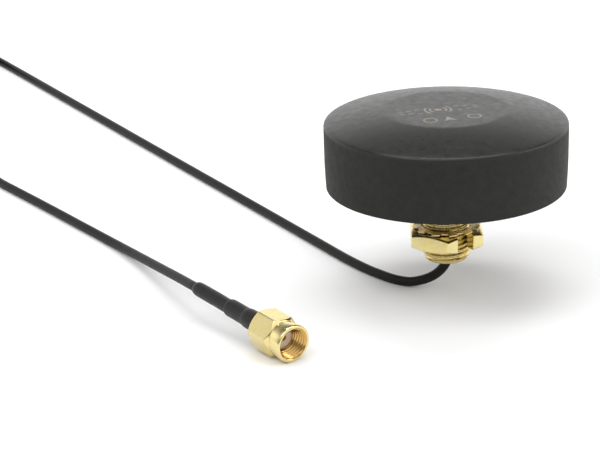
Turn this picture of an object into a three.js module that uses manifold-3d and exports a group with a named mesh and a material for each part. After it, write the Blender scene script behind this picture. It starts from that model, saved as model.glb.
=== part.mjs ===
// GNSS puck antenna for a panel hole: low round radome over a ceramic patch, hollow threaded
// stud with a slotted nut below it, and a thin coaxial lead that ends in a small threaded plug.
// Millimetres, +Z towards the sky. The origin is the centre of the seat on the panel.
import * as THREE from 'three';
import { mergeVertices } from 'three/addons/utils/BufferGeometryUtils.js';
import Module from 'manifold-3d';

const wasm = await Module();
wasm.setup();

// ---- driving dimensions -------------------------------------------------------------------
const PUCK_R = 25; // widest radius, just under the rounded edge
const BASE_R = 24.86; // radius where the wall meets the panel
const CREASE_R = 23.86; // where the rounded edge runs into the sloping top
const CREASE_Z = 13.81;
const DISC_R = 12.64; // flat disc in the middle of the top
const TOP_Z = 16.06;
const CAVITY_R = 23.05;
const CAVITY_TOP_Z = 14.55;
const PLATE_R = 22.85;
const PLATE_T = 3.4;
const GASKET_IN_R = 8.6;
const GASKET_OUT_R = 21.4;
const GASKET_T = 0.95;
const STUD_R = 4.98; // M10 x 1, over the thread crests
const STUD_BORE_R = 3;
const STUD_END_Z = -16.4;
const STUD_CHAMFER = 0.8;
const FLANGE_R = 8;
const FLANGE_FLAT = 7.2; // half the distance across the two flats that stop it turning
const FLANGE_Z0 = 1.25;
const FLANGE_Z1 = 3.2;
const NUT_FLATS = 14.9;
const NUT_Z0 = -13.05;
const NUT_Z1 = -9.5;
const NUT_BORE_R = 5.15; // clears the crests, the thread itself is left plain
const NUT_SLOT = 3.8; // the lead passes through this slot when the nut goes on
const NUT_TURN = THREE.MathUtils.degToRad(-91.5); // direction of one corner of the hexagon
const WASHER_IN_R = 5.25;
const WASHER_OUT_R = 7.15;
const WASHER_Z0 = -9.44;
const WASHER_T = 0.6;
const WASHER_TEETH = 12;
const BOARD_R = 21.5;
const BOARD_Z0 = 7.6;
const BOARD_T = 1;
const POST_R = 2;
const POST_AT = 17.5; // radius of the three screw posts
const PATCH = 25; // side of the ceramic patch
const PATCH_T = 4;
const PATCH_Z0 = 8.87;
const TAPE_T = 0.25;
const PIN_Y = 2.6; // offset of the feed pin from the middle of the patch
const COAX_Z = 6.2; // height of the coaxial lead where it is soldered under the board
const COAX_BEND = 4;
const CORD_D = 2; // miniature coaxial cable
const CORD_LENGTH = 2850;
const CORD_START_Z = -12.4;
const REST_Z = -23.5; // level of the surface that the lead and the plug lie on
const COIL_X = -145.18;
const COIL_Y = 188.33;
const COIL_MEAN_R = 17.5;
const PLUG_X = -32.45; // centre of the plug's open end
const PLUG_Y = -35.77;
const PLUG_Z = -19.62;
const PLUG_HEADING = THREE.MathUtils.degToRad(-52.05);
const PLUG_PITCH = THREE.MathUtils.degToRad(4); // the open end rests on the surface
const PLUG_RIM_R = 3.86;
const PLUG_FLATS = 7.6;
const PLUG_NUT_LENGTH = 10;
const PLUG_COLLAR = 3.4; // length of the round collar in front of the hexagon
const PLUG_HEX_TURN = THREE.MathUtils.degToRad(23.5);
const SLEEVE_IN_END = -32.1; // tail end of the thin shrink sleeve, along the plug's axis
const SLEEVE_OUT_END = -20.7;

// ---- helpers ------------------------------------------------------------------------------
const deg = THREE.MathUtils.degToRad;

// Joins a geometry's corners and turns it inside out where its volume is negative.
function welded(geometry) {
  const bare = geometry.clone();
  bare.deleteAttribute('normal');
  bare.deleteAttribute('uv');
  const joined = mergeVertices(bare, 1e-4);
  const p = joined.attributes.position;
  const from = joined.index.array;
  const kept = [];
  let volume = 0;
  const a = new THREE.Vector3();
  const b = new THREE.Vector3();
  const c = new THREE.Vector3();
  for (let i = 0; i < from.length; i += 3) {
    const [u, v, w] = [from[i], from[i + 1], from[i + 2]];
    if (u === v || v === w || w === u) {
      continue;
    }
    kept.push(u, v, w);
    a.fromBufferAttribute(p, u);
    b.fromBufferAttribute(p, v);
    c.fromBufferAttribute(p, w);
    volume += a.dot(b.cross(c));
  }
  if (volume < 0) {
    for (let i = 0; i < kept.length; i += 3) {
      [kept[i + 1], kept[i + 2]] = [kept[i + 2], kept[i + 1]];
    }
  }
  const out = new THREE.BufferGeometry();
  out.setAttribute('position', p.clone());
  out.setIndex(kept);
  return out;
}

function solid(geometry) {
  const g = welded(geometry);
  const vertProperties = new Float32Array(g.attributes.position.array);
  const triVerts = new Uint32Array(g.index.array);
  return new wasm.Manifold(new wasm.Mesh({ numProp: 3, vertProperties, triVerts }));
}

function geometryOf(manifold) {
  const mesh = manifold.getMesh();
  const g = new THREE.BufferGeometry();
  g.setAttribute('position', new THREE.BufferAttribute(new Float32Array(mesh.vertProperties), 3));
  g.setIndex(new THREE.BufferAttribute(new Uint32Array(mesh.triVerts), 1));
  return g;
}

// Turned body about Z from (radius, height) pairs.
function turned(profile, sides) {
  const points = profile.map(([r, z]) => new THREE.Vector2(r, z));
  return new THREE.LatheGeometry(points, sides).rotateX(Math.PI / 2);
}

// Turned ring: the profile is closed on itself.
function ring(profile, sides) {
  return turned([...profile, profile[0]], sides);
}

function bar(radius, z0, z1, sides, x = 0, y = 0) {
  const body = turned([[0, z0], [radius, z0], [radius, z1], [0, z1]], sides);
  return body.translate(x, y, 0);
}

function block(x0, x1, y0, y1, z0, z1) {
  const body = new THREE.BoxGeometry(x1 - x0, y1 - y0, z1 - z0);
  return body.translate((x0 + x1) / 2, (y0 + y1) / 2, (z0 + z1) / 2);
}

// Upright hexagonal bar with one corner in the direction `turn`.
function hexagon(flats, z0, z1, turn) {
  const shape = new THREE.Shape();
  const corner = flats / Math.sqrt(3);
  for (let i = 0; i < 6; i += 1) {
    const angle = turn + (i * Math.PI) / 3;
    const x = corner * Math.cos(angle);
    const y = corner * Math.sin(angle);
    if (i === 0) {
      shape.moveTo(x, y);
    } else {
      shape.lineTo(x, y);
    }
  }
  const body = new THREE.ExtrudeGeometry(shape, { depth: z1 - z0, bevelEnabled: false });
  return body.translate(0, 0, z0);
}

// Round cord through the points, with the given number of steps.
function tube(points, radius, sides, steps) {
  const shape = new THREE.Shape();
  for (let i = 0; i < sides; i += 1) {
    const angle = (i * 2 * Math.PI) / sides;
    const x = radius * Math.cos(angle);
    const y = radius * Math.sin(angle);
    if (i === 0) {
      shape.moveTo(x, y);
    } else {
      shape.lineTo(x, y);
    }
  }
  const path = new THREE.CatmullRomCurve3(points.map(([x, y, z]) => new THREE.Vector3(x, y, z)));
  return new THREE.ExtrudeGeometry(shape, { steps, bevelEnabled: false, extrudePath: path });
}

const antenna = new THREE.Group();

function add(name, geometry, color, roughness, metalness, parent = antenna) {
  const material = new THREE.MeshStandardMaterial({ color, roughness, metalness });
  const mesh = new THREE.Mesh(welded(geometry), material);
  mesh.name = name;
  parent.add(mesh);
  return mesh;
}

// ---- housing ------------------------------------------------------------------------------
// One moulded shell: wall, rounded edge, slightly domed slope and the flat disc on top.
add('radome', turned([
  [0, CAVITY_TOP_Z],
  [DISC_R - 0.3, CAVITY_TOP_Z],
  [22, 12.4],
  [22.9, 11.8],
  [CAVITY_R, 11.2],
  [CAVITY_R, 0],
  [BASE_R, 0],
  [PUCK_R, 5.6],
  [PUCK_R, 12.84],
  [24.88, 13.24],
  [24.5, 13.58],
  [CREASE_R, CREASE_Z],
  [21, 14.5],
  [17, 15.39],
  [DISC_R, TOP_Z],
  [0, TOP_Z],
], 48), 0x3b3a37, 0.55, 0);

// Bottom plate with a gasket recess, a seal groove in its edge and one under the flange.
const postAngles = [90, 210, 330].map(deg);
const stakeAngles = [60, 180, 300].map(deg);
let plate = solid(ring([
  [5.2, 0],
  [GASKET_IN_R - 0.1, 0],
  [GASKET_IN_R - 0.1, 1],
  [GASKET_OUT_R + 0.1, 1],
  [GASKET_OUT_R + 0.1, 0],
  [PLATE_R, 0],
  [PLATE_R, 1.5],
  [21.9, 1.5],
  [21.9, 2.7],
  [PLATE_R, 2.7],
  [PLATE_R, PLATE_T],
  [FLANGE_R + 0.1, PLATE_T],
  [FLANGE_R + 0.1, 1.2],
  [7.25, 1.2],
  [7.25, 0.4],
  [5.95, 0.4],
  [5.95, 1.2],
  [5.2, 1.2],
], 48));
for (const side of [-1, 1]) {
  const wall = solid(block(FLANGE_FLAT + 0.12, FLANGE_R + 0.4, -3.6, 3.6, 1.3, PLATE_T));
  plate = plate.add(side > 0 ? wall : wall.mirror([1, 0, 0]));
}
for (const angle of postAngles) {
  const x = POST_AT * Math.cos(angle);
  const y = POST_AT * Math.sin(angle);
  plate = plate.add(solid(bar(POST_R, PLATE_T - 0.5, BOARD_Z0, 12, x, y)));
  plate = plate.subtract(solid(bar(1.05, 3.6, BOARD_Z0 + 1, 10, x, y)));
}
for (const angle of stakeAngles) {
  const x = 10 * Math.cos(angle);
  const y = 10 * Math.sin(angle);
  plate = plate.add(solid(bar(0.6, PLATE_T - 0.5, 4.15, 8, x, y)));
}
add('base_plate', geometryOf(plate), 0x2e2d2b, 0.6, 0);

add('base_gasket', ring([
  [GASKET_IN_R, 0],
  [GASKET_OUT_R, 0],
  [GASKET_OUT_R, GASKET_T],
  [GASKET_IN_R, GASKET_T],
], 48), 0x1f1f1e, 0.9, 0);

// Round-section sealing ring.
function sealRing(middle, section, z, sides, faces = 6) {
  const profile = [];
  for (let i = 0; i < faces; i += 1) {
    const angle = (i + 0.5) * 2 * Math.PI / faces;
    profile.push([middle + section * Math.cos(angle), z + section * Math.sin(angle)]);
  }
  return ring(profile, sides);
}
add('housing_seal', sealRing(22.45, 0.52, 2.1, 48), 0x191918, 0.8, 0);
add('stud_seal', sealRing(6.6, 0.4, 0.82, 24), 0x191918, 0.8, 0);

// ---- threaded stud, washer and nut --------------------------------------------------------
let stud = solid(ring([
  [STUD_BORE_R, STUD_END_Z],
  [STUD_R - STUD_CHAMFER, STUD_END_Z],
  [STUD_R, STUD_END_Z + STUD_CHAMFER],
  [STUD_R, FLANGE_Z0],
  [FLANGE_R, FLANGE_Z0],
  [FLANGE_R, FLANGE_Z1],
  [STUD_BORE_R, FLANGE_Z1],
], 36));
for (const side of [-1, 1]) {
  const cut = solid(block(FLANGE_FLAT, FLANGE_R + 1, -6, 6, FLANGE_Z0 - 0.5, FLANGE_Z1 + 0.5));
  stud = stud.subtract(side > 0 ? cut : cut.mirror([1, 0, 0]));
}
add('threaded_stud', geometryOf(stud), 0xc9a862, 0.28, 1);

// Thin ring over the flange, held by three heat stakes of the bottom plate.
let keeper = solid(ring([
  [4.7, PLATE_T + 0.05],
  [11.2, PLATE_T + 0.05],
  [11.2, PLATE_T + 0.55],
  [4.7, PLATE_T + 0.55],
], 32));
for (const angle of stakeAngles) {
  const hole = solid(bar(0.72, PLATE_T - 1, PLATE_T + 2, 8, 10 * Math.cos(angle), 10 * Math.sin(angle)));
  keeper = keeper.subtract(hole);
}
add('flange_keeper', geometryOf(keeper), 0xa9a8a2, 0.4, 1);

add('lead_grommet', ring([
  [CORD_D / 2 + 0.15, -15.5],
  [STUD_BORE_R - 0.08, -15.5],
  [STUD_BORE_R - 0.08, -12.6],
  [CORD_D / 2 + 0.15, -12.6],
], 24), 0x161616, 0.7, 0);

// Washer with short outward teeth.
const washerShape = new THREE.Shape();
for (let i = 0; i < WASHER_TEETH; i += 1) {
  const step = (2 * Math.PI) / WASHER_TEETH;
  const corners = [[WASHER_OUT_R, 0], [WASHER_OUT_R, 0.25], [WASHER_OUT_R, 0.5], [6.25, 0.62], [6.25, 0.88]];
  for (const [r, share] of corners) {
    const angle = (i + share) * step;
    if (i === 0 && share === 0) {
      washerShape.moveTo(r, 0);
    } else {
      washerShape.lineTo(r * Math.cos(angle), r * Math.sin(angle));
    }
  }
}
const washerHole = new THREE.Path();
washerHole.absarc(0, 0, WASHER_IN_R, 0, 2 * Math.PI, true);
washerShape.holes.push(washerHole);
add('lock_washer', new THREE.ExtrudeGeometry(washerShape, {
  depth: WASHER_T,
  bevelEnabled: false,
  curveSegments: 24,
}).translate(0, 0, WASHER_Z0), 0xb8975a, 0.35, 1);

// Hexagonal nut, chamfered on both faces, open on one side.
const nutCorner = NUT_FLATS / Math.sqrt(3) + 0.01;
let nut = solid(hexagon(NUT_FLATS, NUT_Z0, NUT_Z1, NUT_TURN));
nut = nut.intersect(solid(turned([
  [0, NUT_Z0],
  [7.3, NUT_Z0],
  [nutCorner, NUT_Z0 + 0.62],
  [nutCorner, NUT_Z1 - 0.75],
  [7, NUT_Z1],
  [0, NUT_Z1],
], 36)));
nut = nut.subtract(solid(bar(NUT_BORE_R, NUT_Z0 - 1, NUT_Z1 + 1, 36)));
const slot = block(0, 10, -NUT_SLOT / 2, NUT_SLOT / 2, NUT_Z0 - 1, NUT_Z1 + 1);
nut = nut.subtract(solid(slot.rotateZ(NUT_TURN + Math.PI / 6)));
add('panel_nut', geometryOf(nut), 0xcdb06c, 0.22, 1);

// ---- inside the housing -------------------------------------------------------------------
let board = solid(turned([
  [0, BOARD_Z0],
  [BOARD_R, BOARD_Z0],
  [BOARD_R, BOARD_Z0 + BOARD_T],
  [0, BOARD_Z0 + BOARD_T],
], 36));
for (const angle of postAngles) {
  const hole = bar(1.15, BOARD_Z0 - 1, BOARD_Z0 + 2, 10);
  hole.translate(POST_AT * Math.cos(angle), POST_AT * Math.sin(angle), 0);
  board = board.subtract(solid(hole));
}
board = board.subtract(solid(bar(0.75, BOARD_Z0 - 1, BOARD_Z0 + 2, 10, 0, PIN_Y)));
add('circuit_board', geometryOf(board.translate([0, 0, 0])), 0x2f5d3a, 0.5, 0);

postAngles.forEach((angle, i) => {
  const head = BOARD_Z0 + BOARD_T + 0.02;
  const screw = turned([
    [0, 4.2],
    [0.95, 4.2],
    [0.95, head],
    [1.85, head],
    [1.85, head + 0.7],
    [1.3, head + 1.15],
    [0, head + 1.15],
  ], 12);
  screw.translate(POST_AT * Math.cos(angle), POST_AT * Math.sin(angle), 0);
  add(`board_screw_${i + 1}`, screw, 0xb4b4b0, 0.3, 1);
});

function plateWithPinHole(side, z0, z1, hole) {
  const body = solid(block(-side / 2, side / 2, -side / 2, side / 2, z0, z1));
  return geometryOf(body.subtract(solid(bar(hole, z0 - 1, z1 + 1, 10, 0, PIN_Y))));
}
const patchTop = PATCH_Z0 + PATCH_T;
add('patch_tape', plateWithPinHole(24, BOARD_Z0 + BOARD_T, PATCH_Z0 - 0.02, 1), 0xd8d4c4, 0.8, 0);
add('ceramic_patch', plateWithPinHole(PATCH, PATCH_Z0, patchTop, 0.75), 0xcbb9a0, 0.6, 0);
add('patch_electrode', plateWithPinHole(21.6, patchTop, patchTop + 0.1, 0.75), 0xd9d6cc, 0.25, 1);

add('feed_pin', turned([
  [0, 6.9],
  [0.4, 6.9],
  [0.55, 7.2],
  [0.55, patchTop + 0.12],
  [1.1, patchTop + 0.12],
  [0.8, patchTop + 0.42],
  [0, patchTop + 0.48],
], 10).translate(0, PIN_Y, 0), 0xd0cfc8, 0.3, 1);

add('foam_pad', ring([
  [4.6, patchTop + 0.12],
  [8.4, patchTop + 0.12],
  [8.4, CAVITY_TOP_Z - 0.05],
  [4.6, CAVITY_TOP_Z - 0.05],
], 24), 0x4a4a4a, 0.95, 0);

const can = solid(block(2.8, 13, -6.4, 6.4, 4.2, BOARD_Z0 - 0.02));
const canRoom = solid(block(3.1, 12.7, -6.1, 6.1, 4.5, BOARD_Z0 + 1));
add('shield_can', geometryOf(can.subtract(canRoom)), 0xb9bab8, 0.35, 1);
add('amplifier_chip', block(4.6, 7.6, 0.6, 3.6, BOARD_Z0 - 1, BOARD_Z0 - 0.02), 0x1a1a1a, 0.5, 0);
add('band_filter', block(8.2, 11.8, -3.6, 0, BOARD_Z0 - 1.2, BOARD_Z0 - 0.02), 0xcfcabd, 0.45, 0.4);

// Coaxial lead inside: up the bore, round one bend and along the underside of the board.
const innerLead = [[0, 0, -12.3], [0, 0, -8], [0, 0, -4], [0, 0, 0], [0, 0, COAX_Z - COAX_BEND]];
for (const angle of [22.5, 45, 67.5, 90].map(deg)) {
  const x = -COAX_BEND + COAX_BEND * Math.cos(angle);
  innerLead.push([x, 0, COAX_Z - COAX_BEND + COAX_BEND * Math.sin(angle)]);
}
innerLead.push([-8, 0, COAX_Z]);
add('inner_lead', tube(innerLead, CORD_D / 2, 8, 22), 0x262626, 0.5, 0);
add('lead_core', tube([
  [-8.1, 0, COAX_Z],
  [-9, 0, COAX_Z + 0.05],
  [-9.7, 0, COAX_Z + 0.5],
  [-10, 0, BOARD_Z0 - 0.12],
], 0.25, 6, 6), 0xd0cfc8, 0.3, 1);
const clip = solid(block(-7.8, -5.8, -1.9, 1.9, 4.9, BOARD_Z0 - 0.02));
const clipHole = bar(1.15, -12, 12, 12).rotateY(Math.PI / 2).translate(0, 0, COAX_Z);
add('lead_clip', geometryOf(clip.subtract(solid(clipHole))), 0xbdbcb6, 0.35, 1);

// ---- plug ---------------------------------------------------------------------------------
// Its local +X axis points out of the open end, which is at x = 0.
const plug = new THREE.Group();
plug.position.set(PLUG_X, PLUG_Y, PLUG_Z);
plug.rotation.set(0, PLUG_PITCH, PLUG_HEADING, 'ZYX');
antenna.add(plug);

// Turned ring about the plug's axis from (radius, distance along the axis) pairs.
function plugRing(profile, sides) {
  return ring(profile, sides).rotateY(Math.PI / 2);
}
const plugCorner = PLUG_FLATS / Math.sqrt(3) + 0.01;
let coupling = solid(hexagon(PLUG_FLATS, -PLUG_NUT_LENGTH, -PLUG_COLLAR, PLUG_HEX_TURN));
coupling = coupling.intersect(solid(turned([
  [0, -PLUG_NUT_LENGTH],
  [3.2, -PLUG_NUT_LENGTH],
  [plugCorner, -PLUG_NUT_LENGTH + 0.95],
  [plugCorner, -PLUG_COLLAR - 0.7],
  [3.64, -PLUG_COLLAR],
  [0, -PLUG_COLLAR],
], 30)));
coupling = coupling.add(solid(turned([
  [0, -PLUG_COLLAR - 0.5],
  [3.5, -PLUG_COLLAR - 0.5],
  [3.62, -PLUG_COLLAR],
  [PLUG_RIM_R, -1.1],
  [PLUG_RIM_R, -0.2],
  [PLUG_RIM_R - 0.18, 0],
  [0, 0],
], 30)));
coupling = coupling.subtract(solid(turned([
  [0, -11],
  [2.5, -11],
  [2.5, -7.9],
  [2.95, -7.9],
  [2.95, -5.6],
  [3.12, -5.5],
  [3.12, -0.35],
  [3.45, 0],
  [3.45, 1],
  [0, 1],
], 30)));
add('coupling_nut', geometryOf(coupling).rotateY(Math.PI / 2), 0xd2b56b, 0.22, 1, plug);

// Body: front sleeve, flange that the nut pulls on, groove for the snap ring, crimp tail.
add('plug_body', plugRing([
  [2.1, -3.2],
  [2.35, -3.2],
  [2.35, -4.9],
  [2.85, -5],
  [2.85, -5.9],
  [2.4, -5.9],
  [2.4, -9.3],
  [1.5, -9.3],
  [1.5, -12.6],
  [1.1, -12.6],
  [1.1, -7.9],
  [0.9, -7.9],
  [0.9, -6.2],
  [2.1, -6.2],
], 20), 0xcaa960, 0.28, 1, plug);
const snap = solid(ring([
  [2.46, -7],
  [2.86, -7],
  [2.86, -6.5],
  [2.46, -6.5],
], 18));
const snapGap = solid(block(0, 4, -0.5, 0.5, -8, -6));
add('snap_ring', geometryOf(snap.subtract(snapGap)).rotateY(Math.PI / 2), 0xb9a06a, 0.4, 1, plug);
add('plug_gasket', plugRing([
  [2.42, -4.8],
  [3.02, -4.8],
  [3.02, -4.3],
  [2.42, -4.3],
], 20), 0x2a2522, 0.8, 0, plug);
add('plug_insulator', plugRing([
  [0.66, -3.25],
  [2.03, -3.25],
  [2.03, -6.15],
  [0.66, -6.15],
], 20), 0xe2c7b4, 0.6, 0, plug);
// Socket contact: a tube with a closed tail, open to the front.
add('plug_socket', turned([
  [0, -7.6],
  [0.6, -7.6],
  [0.6, -3.3],
  [0.42, -3.3],
  [0.42, -6.4],
  [0, -6.4],
], 12).rotateY(Math.PI / 2), 0xd8b870, 0.25, 1, plug);
add('crimp_ferrule', plugRing([
  [1.58, -9.7],
  [1.86, -9.7],
  [1.86, -14],
  [1.25, -14.4],
  [1.06, -14.4],
  [1.06, -12.8],
  [1.58, -12.8],
], 16), 0xc4a55f, 0.3, 1, plug);
add('outer_sleeve', plugRing([
  [1.9, -9.5],
  [2.05, -9.5],
  [2.05, -14.2],
  [1.84, -15],
  [1.82, SLEEVE_OUT_END + 0.5],
  [1.66, SLEEVE_OUT_END],
  [1.56, SLEEVE_OUT_END],
  [1.56, -14.8],
  [1.9, -14.1],
], 16), 0x30302e, 0.6, 0, plug);
add('inner_sleeve', plugRing([
  [1.06, -14.6],
  [1.46, -14.9],
  [1.51, SLEEVE_IN_END + 0.7],
  [1.2, SLEEVE_IN_END],
  [1.06, SLEEVE_IN_END],
], 16), 0x343432, 0.6, 0, plug);

add('sleeved_lead', turned([
  [0, SLEEVE_IN_END - 0.1],
  [0.99, SLEEVE_IN_END - 0.1],
  [0.99, -14.8],
  [0, -14.8],
], 8).rotateY(Math.PI / 2), 0x3a3a38, 0.5, 0, plug);

// ---- lead ---------------------------------------------------------------------------------
// Straight out of the stud, down in one bend, along the surface to a coil, and back to the plug.
const CORD_Z = REST_Z + CORD_D / 2;
add('lead_exit', tube([
  [0, 0, CORD_START_Z],
  [0, 0, -14],
  [0, 0, -16.4],
  [0, 0, -17.3],
  [-0.25, 0, -18],
  [-0.9, 0.05, -19],
  [-2, 0.1, -20.1],
  [-3.6, 0.3, -21.1],
  [-5.6, 0.8, -21.9],
  [-7.6, 1.5, -22.4],
  [-9.6, 2.6, CORD_Z],
], CORD_D / 2, 8, 12), 0x3a3a38, 0.5, 0);
add('lead_run', tube([
  [-9.95, 2.85, CORD_Z],
  [-11.2, 3.76, CORD_Z],
  [-13.63, 6.38, CORD_Z],
  [-16.07, 9.38, CORD_Z],
  [-18.52, 12.95, CORD_Z],
  [-21, 16.93, CORD_Z],
  [-24.79, 23.57, CORD_Z],
  [-30.02, 32.76, CORD_Z],
  [-37.3, 45.51, CORD_Z],
  [-44.99, 58.96, CORD_Z],
  [-53.1, 73.08, CORD_Z],
  [-61.67, 88.01, CORD_Z],
  [-70.5, 103.4, CORD_Z],
  [-82.5, 124.4, CORD_Z],
  [-94.5, 145.3, CORD_Z],
  [-106.5, 166.3, CORD_Z],
  [-116.2, 183.2, CORD_Z],
  [-120.34, 190.33, CORD_Z],
], CORD_D / 2, 8, 26), 0x3a3a38, 0.5, 0);

// The stored length as one ring; its turns are counted from the length of the lead.
const STORED = CORD_LENGTH - 490;
const TURNS = Math.round(STORED / (2 * Math.PI * COIL_MEAN_R));
const coilMesh = add('lead_coil', ring([
  [COIL_MEAN_R - 4.8, -23.1],
  [COIL_MEAN_R + 4.8, -23.1],
  [COIL_MEAN_R + 6.1, -21.8],
  [COIL_MEAN_R + 6.1, -17.3],
  [COIL_MEAN_R + 4.8, -16],
  [COIL_MEAN_R - 4.8, -16],
  [COIL_MEAN_R - 6, -17.3],
  [COIL_MEAN_R - 6, -21.8],
], 28), 0x3a3a38, 0.5, 0);
coilMesh.position.set(COIL_X, COIL_Y, 0);
coilMesh.userData.turns = TURNS;
const tieOuter = solid(block(10.85, 24.15, -1.2, 1.2, -23.45, -15.6));
const tieInner = solid(block(11.12, 23.88, -2, 2, -23.2, -15.87));
const tieMesh = add('coil_tie', geometryOf(tieOuter.subtract(tieInner)), 0x191919, 0.6, 0);
tieMesh.position.set(COIL_X, COIL_Y, 0);
tieMesh.rotation.z = deg(115);

add('lead_tail', tube([
  [-157.36, 166.71, CORD_Z],
  [-148, 150.7, CORD_Z],
  [-133, 125, CORD_Z],
  [-119, 100.8, CORD_Z],
  [-104.11, 75.48, CORD_Z],
  [-99.03, 68.23, CORD_Z],
  [-92.83, 59.5, CORD_Z],
  [-86.13, 49.96, CORD_Z],
  [-81.4, 43.12, CORD_Z],
  [-77.57, 37.64, CORD_Z],
  [-74.07, 32.51, -22.45],
  [-70.98, 27.64, -22.25],
  [-68.16, 22.69, -21.85],
  [-65.6, 17.78, -21.3],
  [-63.07, 12.67, -20.65],
  [-60.58, 7.51, -19.95],
  [-58.14, 2.35, -19.2],
  [-55.76, -2.78, -18.45],
  [-53.55, -7.6, -17.72],
  [-52.91, -9.53, -17.34],
  [-52.27, -10.36, -17.37],
], CORD_D / 2, 8, 30), 0x3a3a38, 0.5, 0);

export default antenna;
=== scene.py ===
import math
import random

import bmesh
import bpy
from mathutils import Matrix, Vector, noise


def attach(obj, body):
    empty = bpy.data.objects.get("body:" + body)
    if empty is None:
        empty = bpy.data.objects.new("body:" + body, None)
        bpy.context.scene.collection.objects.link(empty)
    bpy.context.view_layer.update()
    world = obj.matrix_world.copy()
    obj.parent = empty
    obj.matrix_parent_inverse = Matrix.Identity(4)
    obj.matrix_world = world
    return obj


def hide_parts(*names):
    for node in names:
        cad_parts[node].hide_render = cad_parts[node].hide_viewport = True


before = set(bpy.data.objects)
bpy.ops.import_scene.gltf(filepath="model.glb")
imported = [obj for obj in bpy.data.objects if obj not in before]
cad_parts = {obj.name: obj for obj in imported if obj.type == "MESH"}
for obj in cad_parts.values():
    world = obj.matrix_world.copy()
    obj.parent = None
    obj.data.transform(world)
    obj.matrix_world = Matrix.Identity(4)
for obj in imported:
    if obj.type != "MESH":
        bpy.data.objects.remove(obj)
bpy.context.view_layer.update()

MM = 0.001
TAU = 2 * math.pi


# ---- camera ---------------------------------------------------------------------------------
CAMERA_AT = Vector((-30.52, -391.3, 136.94))
CAMERA_DOWN = math.radians(20.36)
CAMERA_ROLL = math.radians(-1.82)
camera = bpy.data.objects.new("camera", bpy.data.cameras.new("camera"))
bpy.context.scene.collection.objects.link(camera)
camera.matrix_world = (
    Matrix.Translation(CAMERA_AT * MM)
    @ Matrix.Rotation(math.pi / 2 - CAMERA_DOWN, 4, "X")
    @ Matrix.Rotation(CAMERA_ROLL, 4, "Z")
)
camera.data.sensor_width = 36
camera.data.lens = 120
camera.data.clip_start = 0.02
camera.data.clip_end = 50
bpy.context.scene.camera = camera

# ---- dimensions in millimetres, as in the CAD source -----------------------------------------
DISC_R = 12.64  # flat disc in the middle of the top
TOP_Z = 16.06
CAVITY_TOP_Z = 14.55
STUD_END_Z = -16.4
STUD_PITCH = 1.0
NUT_Z0 = -13.05
NUT_Z1 = -9.5
NUT_FLATS = 14.9
NUT_TURN = math.radians(-91.5)
WASHER_IN_R = 5.25
WASHER_OUT_R = 7.15
WASHER_TEETH = 12
REST_Z = -23.5  # level of the surface that the lead and the plug lie on
CORD_D = 2.0
CORD_Z = REST_Z + CORD_D / 2
COIL_X = -145.18
COIL_Y = 188.33
COIL_MEAN_R = 17.5
COIL_TURNS = 21.5
PLUG = Vector((-32.45, -35.77, -19.62))
HEADING = math.radians(-52.05)
PITCH = math.radians(4)
plug_frame = (
    Matrix.Translation(PLUG)
    @ Matrix.Rotation(HEADING, 4, "Z")
    @ Matrix.Rotation(PITCH, 4, "Y")
    @ Matrix.Rotation(math.pi / 2, 4, "Y")
)
PLUG_FLATS = 7.6
PLUG_HEX_TURN = math.radians(23.5)
PLUG_NUT_LENGTH = 10
PLUG_PITCH = 0.7056  # 36 threads an inch


# ---- lead: one tube from inside the stud to inside the plug's sleeve ------------------------
COIL_START = math.radians(29.8)
COIL_ROWS = (6, 5, 6, 5)  # turns side by side in each row
COIL_ROW_Z = -22.2  # height of the lowest row
COIL_STEP_R = 2.02
COIL_STEP_Z = 1.76  # a row lies in the grooves of the row under it
COIL_STEADY = 0.78  # share of a turn before the lead moves over to the next place
POINTS_PER_TURN = 16


def coil_points():
    """The wound turns, the rows going inwards and outwards in turn, from the bottom up."""
    places = []
    for row, count in enumerate(COIL_ROWS):
        radii = [COIL_MEAN_R + COIL_STEP_R * (i - (count - 1) / 2) for i in range(count)]
        if row % 2 == 0:
            radii.reverse()
        places += [(r, COIL_ROW_Z + COIL_STEP_Z * row, row) for r in radii]
    rng = random.Random(11)
    uneven = [(rng.uniform(-0.04, 0.04), rng.uniform(-0.03, 0.03)) for _ in places]
    points = []
    total = round(COIL_TURNS * POINTS_PER_TURN)
    for n in range(total + 1):
        t = n / POINTS_PER_TURN
        i = min(int(t), len(places) - 1)
        share = t - i
        r, z, _ = places[i]
        if i + 1 < len(places):
            next_r, next_z, next_row = places[i + 1]
            s = min(max((share - COIL_STEADY) / (1 - COIL_STEADY), 0), 1)
            s = s * s * (3 - 2 * s)
            r, z = r + (next_r - r) * s, z + (next_z - z) * s
            z += 0.22 * next_row * math.sin(math.pi * s)
        fade = math.sin(math.pi * min(share / COIL_STEADY, 1)) if 0 < n < total else 0
        r += uneven[i][0] * fade
        z += uneven[i][1] * fade
        a = COIL_START + TAU * t
        points.append((COIL_X + r * math.cos(a), COIL_Y + r * math.sin(a), z))
    return points


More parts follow.
